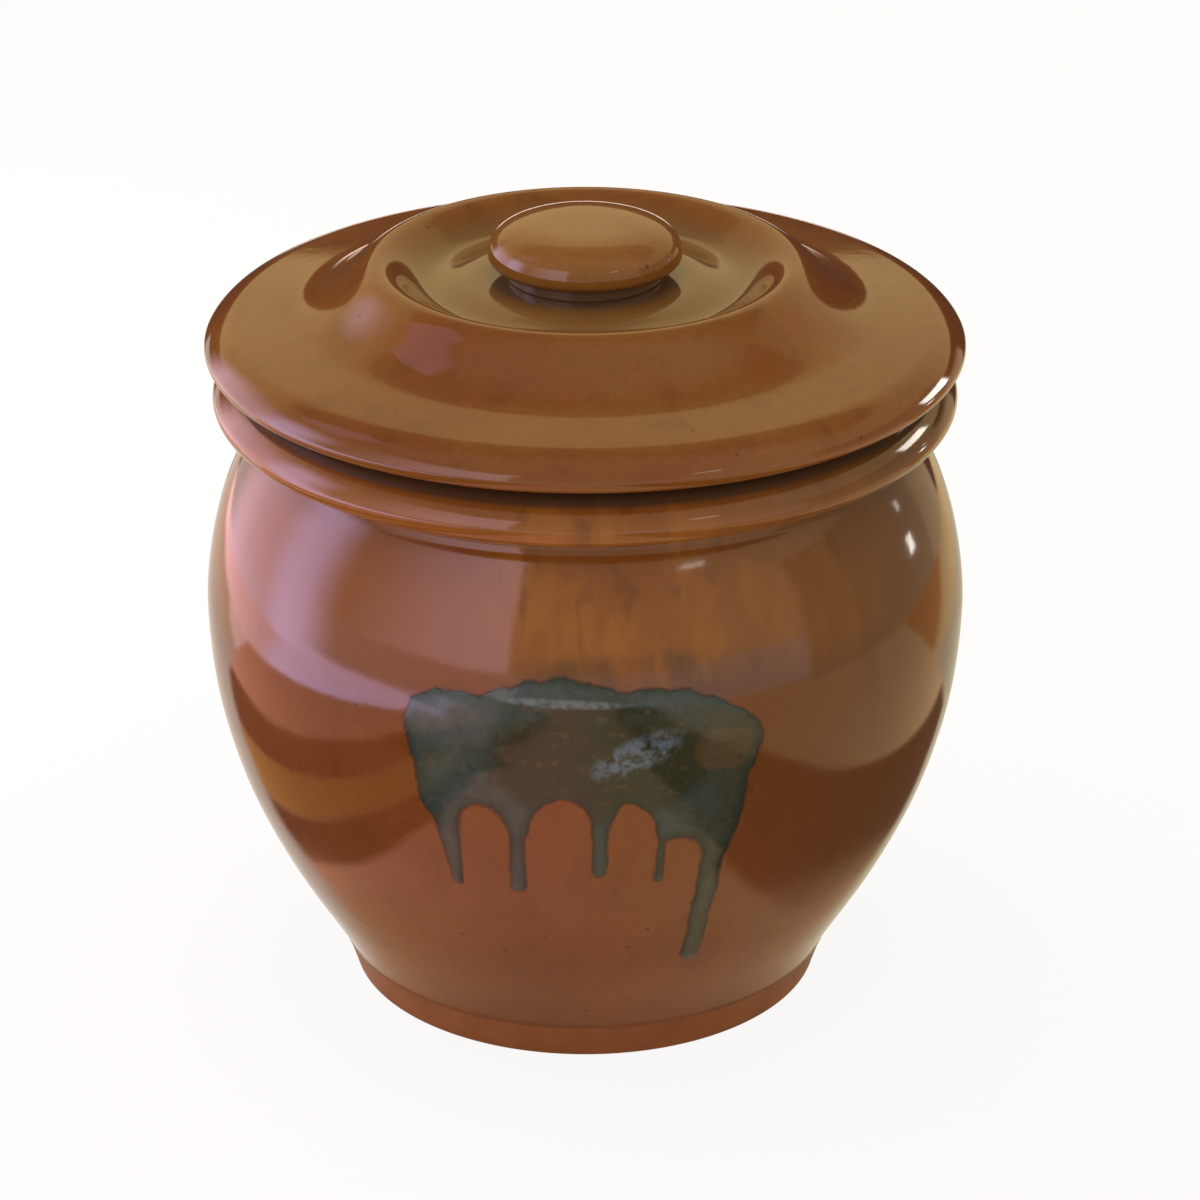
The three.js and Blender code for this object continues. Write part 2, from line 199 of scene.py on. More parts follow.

# Tones of the poured glaze, with its painted sheen and painted glints
POUR_GREYS = ((0.038, 0.062, 0.071), (0.024, 0.044, 0.048))
POUR_PALE_BLUE = (0.09, 0.105, 0.13)
POUR_BROWN = (0.018, 0.021, 0.008)
POUR_OLIVE = (0.034, 0.038, 0.024)
POUR_RUST = (0.13, 0.07, 0.025)
POUR_SAND = (0.1, 0.07, 0.04)
POUR_DARK = (0.012, 0.02, 0.016)
POUR_SPECK = (0.13, 0.06, 0.017)
POUR_TEAL = (0.008, 0.026, 0.026)
RIDGE_GLINT = (0.2, 0.25, 0.33)
SLANT_GLINT = (0.13, 0.2, 0.34)

# Where the glazes and the painted shade change: start and end along a height, a radius, x or y. A
# band has a third number, how far its edges soften
WARM_HEIGHT = (112, 130)
WARM_SIDE = (-30, -10)
WARM_BACK = (-30, 30)
FRONT_DEPTH = (-60, -30)
FRONT_BAND = (-24, 78, 9)
RUNS_HEIGHT = (120, 130)
NECK_HEIGHT = (154, 160)
# where the painted shade of the right side fades in, along x
RIGHT_SIDE = (0, 90)
FOOT_LINE = (10.3, 10.9)
FOOT_RAGGED = 0.6
CROCK_GAP_HEIGHT = (171.6, 172.6)
LID_GAP_HEIGHT = (175.2, 176.8)
GAP_RADIUS = (84, 86)
CROCK_SEAT_HEIGHT = (173.8, 174.3)
CROCK_SEAT_INSIDE = (80.6, 81.2)
LID_SEAT_HEIGHT = (174.6, 175.2)
LID_SEAT_INSIDE = (78.2, 78.8)
SEAT_OUTSIDE = (85.5, 86.5)
UNDERSIDE_HEIGHT = (0.4, 1.2)
RECESS_HEIGHT = (3.2, 3.6)
RECESS_RADIUS = (54, 56)
MOAT_RADIUS = (43, 50)
MOAT_FLOOR = (190, 194)
MOAT_BRIM = (198, 201.5)
BLUSH_BAND = (57, 76, 4)
KNOB_SHADE_RADIUS = (24.5, 27.5)
KNOB_SHADE_LOWER = (194, 196.5)
KNOB_SHADE_UPPER = (201, 203.2)
RUBBED_HEIGHT = (53.5, 55.8)
STREAK_HEIGHT = (112, 122)

# Patches of tone, of painted sheen and of painted glints on the front: place, half-sizes and, where it
# is turned, its turn in radians
HALO_PATCH = ((14, 127), (42, 8.5))
PALE_BLUE_PATCH = ((-34, 116), (15, 9), -0.1)
BROWN_PATCH = ((4, 105), (34, 21))
RUST_PATCH = ((35, 107), (10, 8))
RIDGE_PATCH = ((-5, 121.6), (20, 1.5), -0.03)
SLANT_PATCH = ((13, 107.5), (15, 5.5), 0.42)

GLAZE_BUMP = 0.022
COAT_BUMP = 0.06
GLAZE_INDEX = 1.47

# What the glaze mirrors: name, ends in degrees from +Y towards +X, distance, lower and upper edge, the
# shares that fade out at the first end, the last end and the top, and brightness with colour
CARDS = (
    ("card_back", (-34, 40), 720, (0, 300), (0.03, 0.03, 0.05), (0.05, 0.04, 0.035)),
    ("card_right", (55, 118), 620, (0, 420), (0.05, 0.05, 0.05), (0.6, 0.46, 0.3)),
    ("card_corner", (38, 66), 640, (0, 280), (0.1, 0.3, 0.3), (0.9, 0.66, 0.4)),
    ("window_left", (-90, -40), 620, (0, 640), (0.1, 0.3, 0.5), (3.0, 2.1, 2.6)),
    ("window_middle", (-109, -74), 600, (0, 640), (0.5, 0.4, 0.4), (4.6, 3.6, 5.6)),
    ("window_front", (-160, -100), 610, (120, 700), (0.015, 0.8, 0.05), (2.9, 2.2, 2.5)),
    ("glint_near", (91, 106), 125, (186, 196), (0.15, 0.15, 0.15), (12.0, 11.6, 10.4)),
    ("strip_back", (-16, 14), 700, (95, 170), (0.15, 0.15, 0.15), (2.3, 1.75, 1.45)),
    ("pane_left", (-92, -66), 620, (700, 1120), (0.06, 0.06, 0.06), (1.15, 0.85, 1.0)),
    ("glint_low", (66.5, 70.5), 600, (95, 145), (0.2, 0.2, 0.2), (10.0, 9.6, 8.8)),
    ("glint_high", (66, 68), 600, (200, 235), (0.2, 0.2, 0.2), (5.0, 4.8, 4.4)),
    ("spot_front", (138, 149), 620, (570, 610), (0.2, 0.2, 0.2), (6.0, 5.8, 5.2)),
)

# The mirrored table: its radii, its tones (a pair is left and right) and where they change
TABLE_INSIDE = 62.5
TABLE_OUTSIDE = 720.0
TABLE_BROWN = ((1.5, 0.68, 0.47), (1.1, 0.74, 0.4))
TABLE_STRIPE = (0.85, 0.42, 0.12)
TABLE_SHADE = (0.14, 0.07, 0.05)
TABLE_BY_CROCK = (0.75, 0.46, 0.26)
TABLE_BACK_NEAR = ((0.9, 0.8, 0.68), (0.75, 0.66, 0.46))
TABLE_BACK_OUT = ((1.1, 0.85, 0.65), (1.2, 0.82, 0.38))
TABLE_BACK_BEYOND = ((2.5, 1.65, 1.6), (0.85, 0.35, 0.13))
TABLE_WINDOW = ((4.2, 3.1, 4.7), (3.2, 1.9, 2.0))  # by the window, at the front and at the back
TABLE_FAR = (0.05, 0.04, 0.035)
TABLE_MIDDLE = (-30, 30)
STRIPE_BAND = (-180, -140, 4)
SHADE_BANDS = ((-231, -180, 4), (-140, -108, 4), (80, 195, 6))
BY_CROCK_RADIUS = (80, 130)
BACK_OUT_SIDE = (220, 300)
BEYOND_SIDE = 200
BEYOND_LEAN = 0.76
BEYOND_EDGE = (-30, 20)
WEDGE_LEAN = (0.87, 0.6)
WEDGE_SIDE = (110, 90)
WEDGE_EDGE = (-10, 10)
WEDGE_START = (-45, 0)
TABLE_BACK_EDGE = (110, 125)
WINDOW_SIDE = (-400, -360)
WINDOW_BACK = (0, 100)
FAR_START = (335, 365)
FAR_SIDE = (150, 180)

# The room: its tones, and where they change as shares of a direction to the right, the back and up
ROOM_DARK_WALL = (0.07, 0.055, 0.045)
ROOM_BACK_WALL = (1.05, 0.8, 0.38)
ROOM_CEILING = (0.5, 0.36, 0.2)
ROOM_FRONT = ((0.85, 0.68, 0.46), (1.1, 0.86, 0.55))
DARK_WALL_TOP = (0.215, 0.235)
CEILING_START = (0.63, 0.7)
FRONT_CHANGE = (0.25, 0.55)
BACK_START = (-0.15, 0.35)

# Lamps: name, direction, distance, width and height, and brightness with colour
LAMPS = (
    ("lamp_left", (-0.52, 0.3, 0.22), 640, (690, 660), (2.0, 1.7, 2.0)),
    ("lamp_front", (-0.514, -0.774, 0.368), 2200, (1260, 1430), (1.3, 1.1, 1.3)),
    ("lamp_above", (0.1, 0.2, 1.0), 2000, (1600, 1600), (1.0, 0.95, 0.9)),
)
LAMP_AIM = 110

FLOOR_REACH = 12000
FLOOR_LEVEL = -0.1
FLOOR_PAPER = (0.9, 0.9, 0.9, 1)
FLOOR_WHITE = (1, 1, 1, 1)
FLOOR_WHITE_SHARE = 0.9

CAMERA_LENS = 142.39
CAMERA_SENSOR = 36.0
CAMERA_SHIFT = 0.0125  # share of the picture's width
CAMERA_TILT = 24.593  # degrees
CAMERA_DISTANCE = 1276.5
CAMERA_AIM = 104.37


def line(start, end, count):
    """Points in even steps from start to end."""
    return np.linspace(start, end, count)


def bezier(first, second, third, last, count):
    """Cubic curve: the four points weighed by (1-t)^3, 3t(1-t)^2, 3t^2(1-t) and t^3."""
    t = np.linspace(0, 1, count)[:, None]
    s = 1 - t
    return s**3 * first + 3 * s * s * t * second + 3 * s * t * t * third + t**3 * last


def arc(centre, half_width, half_height, start, end, count):
    """Part of an ellipse: half-width times the cosine and half-height times the sine of each angle."""
    angle = np.radians(np.linspace(start, end, count))
    reach = np.stack((half_width * np.cos(angle), half_height * np.sin(angle)), axis=1)
    return np.asarray(centre) + reach


def eased(start, end, count):
    """A slope that is level at both ends: even steps across, half a cosine wave in height."""
    share = np.linspace(0, 1, count)
    rise = (1 - np.cos(np.pi * share)) / 2
    across = start[0] + share * (end[0] - start[0])
    return np.stack((across, start[1] + rise * (end[1] - start[1])), axis=1)


def joined(*stretches):
    """Stretches of outline end to end, without points that repeat."""
    points = np.concatenate(stretches)
    gaps = np.hypot(*np.diff(points, axis=0).T)
    return points[np.append(True, gaps > 1e-3)]


def rolled_edge(widest, lowest, small, target, fall):
    """An edge's outline: a small round from its lowest point to the slant, then the large round that
    ends on the line through the target, which falls outward by this many degrees.
    """
    centre = np.array((widest - small, lowest + small))
    slant, lean = math.radians(EDGE_SLANT), math.radians(fall)
    way = np.array((math.cos(slant), math.sin(slant)))
    square = np.array((math.sin(lean), math.cos(lean)))
    meeting = centre + small * way
    large = square @ (target - meeting) / (1 - square @ way)
    return joined(arc(centre, small, small, -90, EDGE_SLANT, 24),
                  arc(meeting - large * way, large, large, EDGE_SLANT, 90 - fall, 28))


def soft_min(a, b, width):
    """The lesser of two numbers, rounded over where they differ by less than width."""
    share = np.clip(0.5 + 0.5 * (b - a) / width, 0, 1)
    return b + share * (a - b) - width * share * (1 - share)


def smooth_step(low, high, value):
    """0 below low, 1 above high and a smooth rise between them."""
    share = np.clip((value - low) / (high - low), 0, 1)
    return share * share * (3 - 2 * share)


def bump_at(x, height, place, size, turn=0.0):
    """A rounded hill of height 1: e to the minus square of the distance in turned half-sizes."""
    cosine, sine = math.cos(turn), math.sin(turn)
    along = (x - place[0]) * cosine + (height - place[1]) * sine
    across = (height - place[1]) * cosine - (x - place[0]) * sine
    return np.exp(-((along / size[0]) ** 2) - (across / size[1]) ** 2)


def outward(outline):
    """Unit vectors square to an outline, on the right of the way it runs, which is outside."""
    run = np.gradient(outline, axis=0)
    return np.stack((run[:, 1], -run[:, 0]), axis=1) / np.hypot(*run.T)[:, None]


def bend(outline, reach=1.6, step=0.2):
    """How sharply an outline turns, per millimetre, averaged over a reach; above 0 it bulges."""
    lengths = np.hypot(*np.diff(outline, axis=0).T)
    distance = np.append(0, np.cumsum(lengths))
    even = np.arange(0, distance[-1], step)
    smooth = np.stack([np.interp(even, distance, outline[:, i]) for i in (0, 1)], axis=1)
    run = np.gradient(smooth, axis=0)
    heading = np.unwrap(np.arctan2(run[:, 1], run[:, 0]))
    window = np.hanning(2 * int(reach / step) + 1)
    turning = np.convolve(np.gradient(heading, step), window / window.sum(), mode="same")
    return np.interp(distance, even, turning)


def ring_faces(rings, columns):
    """Numbers of points in closed rings, of the points next to them, and the faces between rings."""
    number = np.arange(rings * columns).reshape(rings, columns)
    after = np.roll(number, -1, axis=1)
    quads = np.stack((number[:-1], after[:-1], after[1:], number[1:]), axis=2).reshape(-1, 4)
    return number, after, quads


def make_piece(name, points, faces, marks=None):
    """Puts points in millimetres and faces into a smooth mesh; marks are named numbers per point."""
    mesh = bpy.data.meshes.new(name)
    mesh.from_pydata((points * MM).tolist(), [], faces, shade_flat=False)
    for mark, values in (marks or {}).items():
        mesh.attributes.new(mark, "FLOAT", "POINT").data.foreach_set("value", values.astype(np.float32))
    mesh.update()
    piece = bpy.data.objects.new(name, mesh)
    bpy.context.scene.collection.objects.link(piece)
    return piece


def turned_piece(name, outline, columns, raised=None):
    """An outline turned about Z: x is radius times cosine, y radius times sine, z the height.

    raised(angle, outline) moves the points outward, square to the outline. The outline starts and
    ends on the axis, where the rings close to a single point.
    """
    angle = np.linspace(0, 2 * np.pi, columns, endpoint=False)[None, :]
    rings = outline[1:-1]
    square = outward(outline)[1:-1]
    offset = 0 if raised is None else raised(angle, rings)
    radius = rings[:, :1] + square[:, :1] * offset
    height = rings[:, 1:] + square[:, 1:] * offset
    radius, height, angle = np.broadcast_arrays(radius, height, angle)
    grid = np.stack((radius * np.cos(angle), radius * np.sin(angle), height), axis=2).reshape(-1, 3)
    poles = [(0, 0, outline[0, 1]), (0, 0, outline[-1, 1])]
    points = np.concatenate((grid, poles))
    number, after, quads = ring_faces(len(rings), columns)
    first, last = len(grid), len(grid) + 1
    start = np.stack((np.full(columns, first), after[0], number[0]), axis=1)
    end = np.stack((np.full(columns, last), number[-1], after[-1]), axis=1)
    turn = bend(outline)
    marks = {"bend": np.concatenate((np.repeat(turn[1:-1], columns), turn[[0, -1]]))}
    return make_piece(name, points, quads.tolist() + start.tolist() + end.tolist(), marks)


def throwing(angle, height):
    """Slow hand-made unevenness of a wall, in millimetres: a few low waves round and up it."""
    round_waves = 0.1 * np.sin(2 * angle + 0.6 + height / 60) + 0.05 * np.sin(3 * angle - height / 23)
    rings = 0.03 * np.sin(height / 4.1 + 0.8 * np.sin(angle)) + 0.008 * np.sin(height / 1.7 + angle)
    return round_waves + rings


WALL = joined(bezier(FOOT_TOP, WALL_START_HANDLE, BELLY - (0, BELLY_REACH_DOWN), BELLY, 84),
              bezier(BELLY, BELLY + (0, BELLY_REACH_UP), NECK_HANDLE, NECK, 64))


def crock_outline():
    """Foot, wall and rolled rim outside, then mouth, wall and floor inside, as radius and height."""
    inner = WALL - WALL_THICKNESS * outward(WALL)
    inner = inner[(inner[:, 0] > 0) & (inner[:, 1] > FLOOR_TOP + FLOOR_FILLET)][::-1]
    inner = inner[(inner[:, 0] > MOUTH_RADIUS) | (inner[:, 1] < BELLY[1])]
    floor_edge = np.array((inner[-1, 0] - FLOOR_CORNER_STEP, FLOOR_TOP))
    foot_round = np.array((FOOT_RADIUS - FOOT_EDGE_ROUND, FOOT_EDGE_ROUND))
    glaze_end = FOOT_TOP - (0, GLAZE_END_DROP)
    groove_end = np.array((RIM_SEAT_RADIUS, RIM_UNDERSIDE))
    rim_seat = np.array((RIM_SEAT_RADIUS, RIM_TOP))
    roll = rolled_edge(RIM_RADIUS, RIM_UNDERSIDE, RIM_LOWER_ROUND, rim_seat, 0)
    mouth_round = np.array((MOUTH_RADIUS + MOUTH_EDGE_ROUND, RIM_TOP - MOUTH_EDGE_ROUND))
    return joined(
        line((0, BASE_RECESS), (FOOT_RING_INSIDE - BASE_RECESS, BASE_RECESS), 20),
        eased((FOOT_RING_INSIDE - BASE_RECESS, BASE_RECESS), (FOOT_RING_INSIDE, 0), 8),
        line((FOOT_RING_INSIDE, 0), (FOOT_RADIUS - FOOT_EDGE_ROUND, 0), 6),
        arc(foot_round, FOOT_EDGE_ROUND, FOOT_EDGE_ROUND, -90, 0, 9),
        line((FOOT_RADIUS, FOOT_EDGE_ROUND), glaze_end - (GLAZE_STEP, 0), 14),
        arc(glaze_end - (GLAZE_STEP, -GLAZE_STEP), GLAZE_STEP, GLAZE_STEP, -90, 0, 5),
        WALL,
        bezier(NECK, GROOVE_HANDLE, groove_end - (GROOVE_REACH, 0), groove_end, 16),
        roll,
        line(roll[-1], (MOUTH_RADIUS + MOUTH_EDGE_ROUND, RIM_TOP), 6),
        arc(mouth_round, MOUTH_EDGE_ROUND, MOUTH_EDGE_ROUND, 90, 180, 9),
        inner,
        bezier(inner[-1], (inner[-1] + floor_edge) / 2, floor_edge, floor_edge - (FLOOR_FILLET, 0), 12),
        line(floor_edge - (FLOOR_FILLET, 0), (0, FLOOR_TOP), 20),
    )


def crock_raised(angle, outline):
    """The wall's unevenness outside, and faint throwing rings inside."""
    height = outline[:, 1:]
    outside = np.zeros(len(outline), bool)
    outside[: np.argmax(outline[:, 1] > RIM_UNDERSIDE)] = True
    wall = smooth_step(*UNEVEN_START, height) * (1 - smooth_step(*UNEVEN_END, height))
    ridges = INSIDE_RING_DEPTH * np.sin(height / INSIDE_RING_PITCH + angle)
    ridges = ridges * smooth_step(*INSIDE_RINGS_START, height)
    return wall * np.where(outside[:, None], throwing(angle, height), ridges)


def lid_outline():
    """Hollow and locating ring below; flange with a round edge, raised ring and moat above."""
    lower = -np.array((0, LID_THICKNESS))
    hollow = joined(eased(MOAT_LOW + lower, RING_CREST + lower, 18),
                    eased(RING_CREST + lower, (SPIGOT_INSIDE, HOLLOW_EDGE), 18))
    inner_round = np.array((SPIGOT_INSIDE + SPIGOT_ROUND, SPIGOT_BOTTOM + SPIGOT_ROUND))
    outer_round = np.array((SPIGOT_OUTSIDE - SPIGOT_ROUND, SPIGOT_BOTTOM + SPIGOT_ROUND))
    edge = rolled_edge(LID_RADIUS, LID_EDGE_BOTTOM, LID_LOWER_ROUND, FLANGE_EDGE, FLANGE_FALL)
    inward = np.array((-1, math.tan(math.radians(FLANGE_FALL))))
    ring_foot = edge[-1] + inward * (edge[-1, 0] - RING_FOOT_RADIUS)
    ring_handles = ring_foot + inward * RING_FOOT_REACH, RING_CREST + (RING_CREST_REACH, 0)
    return joined(
        line((0, MOAT_LOW[1] - LID_THICKNESS), MOAT_LOW + lower, 12),
        hollow,
        line((SPIGOT_INSIDE, HOLLOW_EDGE), (SPIGOT_INSIDE, SPIGOT_BOTTOM + SPIGOT_ROUND), 8),
        arc(inner_round, SPIGOT_ROUND, SPIGOT_ROUND, 180, 270, 6),
        arc(outer_round, SPIGOT_ROUND, SPIGOT_ROUND, -90, 0, 6),
        line((SPIGOT_OUTSIDE, SPIGOT_BOTTOM + SPIGOT_ROUND), (SPIGOT_OUTSIDE, RIM_TOP), 6),
        line((SPIGOT_OUTSIDE, RIM_TOP), (LID_SEAT_RADIUS, RIM_TOP), 8),
        eased((LID_SEAT_RADIUS, RIM_TOP), edge[0], 8),
        edge,
        line(edge[-1], ring_foot, 20),
        bezier(ring_foot, *ring_handles, RING_CREST, 44),
        eased(RING_CREST, MOAT_LOW, 30),
        eased(MOAT_LOW, MOAT_SEAT, 16),
        line(MOAT_SEAT, (0, MOAT_SEAT[1]), 12),
    )


def knob_outline():
    """A short neck and a pebble of a cap: a quarter of an ellipse below, a flattened dome above."""
    foot = MOAT_SEAT[1]
    cap_reach = KNOB_RADIUS - KNOB_NECK_RADIUS
    cap_drop = KNOB_WIDEST - KNOB_CAP_BOTTOM
    angle = np.linspace(np.pi / 2, 0, 48)
    across = KNOB_RADIUS * np.sin(angle) ** (2 / KNOB_FLATNESS)
    rise = (KNOB_TOP - KNOB_WIDEST) * np.cos(angle) ** (2 / KNOB_SIDE_ROUNDNESS)
    crown = np.stack((across, KNOB_WIDEST + rise), axis=1)
    crown = crown[crown[:, 0] > KNOB_RADIUS * KNOB_LEVEL_SHARE]
    return joined(
        line((0, foot), (KNOB_NECK_RADIUS, foot), 8),
        line((KNOB_NECK_RADIUS, foot), (KNOB_NECK_RADIUS, KNOB_CAP_BOTTOM), 8),
        arc((KNOB_NECK_RADIUS, KNOB_WIDEST), cap_reach, cap_drop, -90, 0, 16),
        crown,
        line(crown[-1], (0, KNOB_TOP), 8),
    )


def rod_depth(x, height, start, end):
    """How far a place is inside a tapering rod between two places given as x, height and half-width."""
    way = np.subtract(end[:2], start[:2])
    share = np.clip(((x - start[0]) * way[0] + (height - start[1]) * way[1]) / (way @ way), 0, 1)
    off = np.hypot(x - start[0] - share * way[0], height - start[1] - share * way[1])
    return start[2] + share * (end[2] - start[2]) - off


def pour_depth(x, height):
    """How far a place is inside the poured glaze's outline, in millimetres, below 0 outside it.

    The sheet is the rounded least of its distances from four edges. Each run is two tapering rods with
    round ends, the half-width minus the distance from the middle line. The greatest of them, rounded
    where they meet, is the depth, and three sine waves make its edge unsteady.
    """
    above = np.interp(x, *POUR_TOP_EDGE.T) - height
    below = height - np.interp(x, *POUR_LOWER_EDGE.T)
    left = x - np.interp(height, POUR_LEFT_EDGE[:, 1], POUR_LEFT_EDGE[:, 0])
    right = np.interp(height, POUR_RIGHT_EDGE[:, 1], POUR_RIGHT_EDGE[:, 0]) - x
    up_and_down = soft_min(above, below, POUR_EDGE_BLEND)
    depth = soft_min(up_and_down, soft_min(left, right, POUR_EDGE_BLEND), POUR_EDGE_BLEND)
    for root, throat, drop in POUR_RUNS:
        run = np.maximum(rod_depth(x, height, root, throat), rod_depth(x, height, throat, drop))
        depth = -soft_min(-depth, -run, POUR_RUN_BLEND)
    wave = 0.16 * np.sin(0.8 * x + 0.3 * height) + 0.1 * np.sin(1.9 * x - 0.7 * height + 1)
    return depth + wave + 0.12 * np.sin(0.9 * height + 0.4 * x)


def pour_lumps(x, height):
    """Unevenness of the poured coat, in millimetres: rounded hills, one on each drop, and low waves."""
    lumps = 0
    for thickness, *hill in POUR_LUMPS:
        lumps = lumps + thickness * bump_at(x, height, *hill)
    for *_, drop in POUR_RUNS:
        lumps = lumps + POUR_DROP * bump_at(x, height, drop, (drop[2] * 1.3, drop[2] * 1.8))
    return lumps + 0.04 * np.sin(0.5 * x + 0.2 * height) * np.sin(0.43 * height)


def poured_coat():
    """The poured glaze: a fine grid over the front wall, kept where it is inside the outline.

    Grid points near the outline are moved onto it, against the slope of the depth. The outer face lies
    on the wall plus a thickness that grows inwards from the edge, the inner face lies in the wall, and
    strips along the edge close the two.
    """
    reach = math.radians(POUR_HALF_ANGLE)
    columns = int(2 * reach * BELLY[0] / POUR_CELL)
    levels = np.arange(*POUR_HEIGHTS, POUR_CELL)
    angle, height = np.meshgrid(np.linspace(-reach, reach, columns), levels)

    def front(angle, height):
        return np.interp(height, WALL[:, 1], WALL[:, 0]) * np.sin(angle)

    depth = pour_depth(front(angle, height), height)
    slope_up, slope_across = np.gradient(depth, POUR_CELL, 2 * reach * BELLY[0] / (columns - 1))
    steep = np.maximum(slope_up**2 + slope_across**2, POUR_LEAST_SLOPE)
    near = np.abs(depth) < POUR_SNAP * POUR_CELL
    height = height - near * depth * slope_up / steep
    angle = angle - near * depth * slope_across / steep / BELLY[0]
    inside = np.where(near, 0, depth)
    number = np.arange(depth.size).reshape(depth.shape)

    def corners(values):
        return np.stack((values[:-1, :-1], values[:-1, 1:], values[1:, 1:], values[1:, :-1]), axis=-1)

    kept = (corners(inside).min(axis=-1) >= 0) & (corners(depth).mean(axis=-1) > 0)
    quads = corners(number)[kept]
    used, quads = np.unique(quads, return_inverse=True)
    quads = quads.reshape(-1, 4)
    angle, height, inside = angle.ravel()[used], height.ravel()[used], inside.ravel()[used]

    x = front(angle, height)
    square = outward(WALL)
    lean = np.stack([np.interp(height, WALL[:, 1], square[:, i]) for i in (0, 1)], axis=1)
    base = np.stack((np.interp(height, WALL[:, 1], WALL[:, 0]), height), axis=1)
    base = base + lean * throwing(angle - np.pi / 2, height)[:, None]
    grown = 1 - np.exp(-inside / POUR_EDGE_GROWTH)
    lumps = pour_lumps(x, height) * smooth_step(0, POUR_LUMP_RISE, inside)
    thick = POUR_THICKNESS * grown + lumps - POUR_EDGE_SINK

    def placed(offset):
        ring = base + lean * offset[:, None]
        return np.stack((ring[:, 0] * np.sin(angle), -ring[:, 0] * np.cos(angle), ring[:, 1]), axis=1)

    points = np.concatenate((placed(thick), placed(np.full(len(used), -POUR_UNDERSIDE))))
    edges = np.stack((quads, np.roll(quads, -1, axis=1)), axis=-1).reshape(-1, 2)
    _, which, count = np.unique(np.sort(edges, axis=1), axis=0, return_inverse=True, return_counts=True)
    rim = edges[count[which.ravel()] == 1]
    strips = np.concatenate((rim[:, ::-1], rim + len(used)), axis=1)
    faces = np.concatenate((quads, quads[:, ::-1] + len(used), strips))
    marks = {"depth": np.concatenate((inside, inside))}
    return make_piece("poured_coat", points, faces.tolist(), marks)


def half_moon(name, side):
    """A half-moon weight: a rounded profile carried along the outline of half a disc with half a hole.

    The outline's corners are rounded by a running mean of its points. Rings of the profile lie inward of
    the outline, square to it, and one flat face closes the top and one the bottom.
    """
    reach = math.sqrt(WEIGHT_RADIUS**2 - WEIGHT_SPLIT**2)
    hole = math.sqrt(WEIGHT_HOLE_RADIUS**2 - WEIGHT_SPLIT**2)
    tip = math.degrees(math.atan2(reach, WEIGHT_SPLIT))
    notch = math.degrees(math.atan2(hole, WEIGHT_SPLIT))
    plan = joined(
        arc((0, 0), WEIGHT_RADIUS, WEIGHT_RADIUS, -tip, tip, 400),
        line((WEIGHT_SPLIT, reach), (WEIGHT_SPLIT, hole), 120),
        arc((0, 0), WEIGHT_HOLE_RADIUS, WEIGHT_HOLE_RADIUS, notch, -notch, 80),
        line((WEIGHT_SPLIT, -hole), (WEIGHT_SPLIT, -reach), 120),
    )
    around = np.append(0, np.cumsum(np.hypot(*np.diff(plan, axis=0).T)))
    even = np.linspace(0, around[-1], WEIGHT_COLUMNS, endpoint=False)
    plan = np.stack([np.interp(even, around, plan[:, i]) for i in (0, 1)], axis=1)
    half = int(WEIGHT_CORNER / 2 / (around[-1] / WEIGHT_COLUMNS))
    plan = np.mean([np.roll(plan, shift, axis=0) for shift in range(-half, half + 1)], axis=0)
    run = np.roll(plan, -1, axis=0) - np.roll(plan, 1, axis=0)
    inward = np.stack((-run[:, 1], run[:, 0]), axis=1) / np.hypot(*run.T)[:, None]

    bottom, top = WEIGHT_BOTTOM, WEIGHT_BOTTOM + WEIGHT_THICKNESS
    chamfer = bezier(
        np.array((WEIGHT_ROUND, bottom)), np.array((WEIGHT_CHAMFER_WIDTH, bottom)),
        WEIGHT_CHAMFER_HANDLE + (0, bottom), np.array((0, bottom + WEIGHT_CHAMFER)), 8,
    )
    profile = joined(
        line((WEIGHT_ROUND + WEIGHT_FLAT_EDGE, bottom), (WEIGHT_ROUND, bottom), 2),
        chamfer,
        line((0, bottom + WEIGHT_CHAMFER), (0, top - WEIGHT_ROUND), 5),
        arc((WEIGHT_ROUND, top - WEIGHT_ROUND), WEIGHT_ROUND, WEIGHT_ROUND, 180, 90, 8),
        line((WEIGHT_ROUND, top), (WEIGHT_ROUND + WEIGHT_FLAT_EDGE, top), 2),
    )
    rings = plan[None] + inward[None] * profile[:, :1, None]
    level = np.broadcast_to(profile[:, 1:], rings.shape[:2])
    points = np.dstack((rings, level)).reshape(-1, 3) * (side, 1, 1)
    number, _, quads = ring_faces(len(rings), WEIGHT_COLUMNS)
    bottom_and_top = [number[0, ::-side].tolist(), number[-1, ::side].tolist()]
    return make_piece(name, points, quads[:, ::side].tolist() + bottom_and_top)


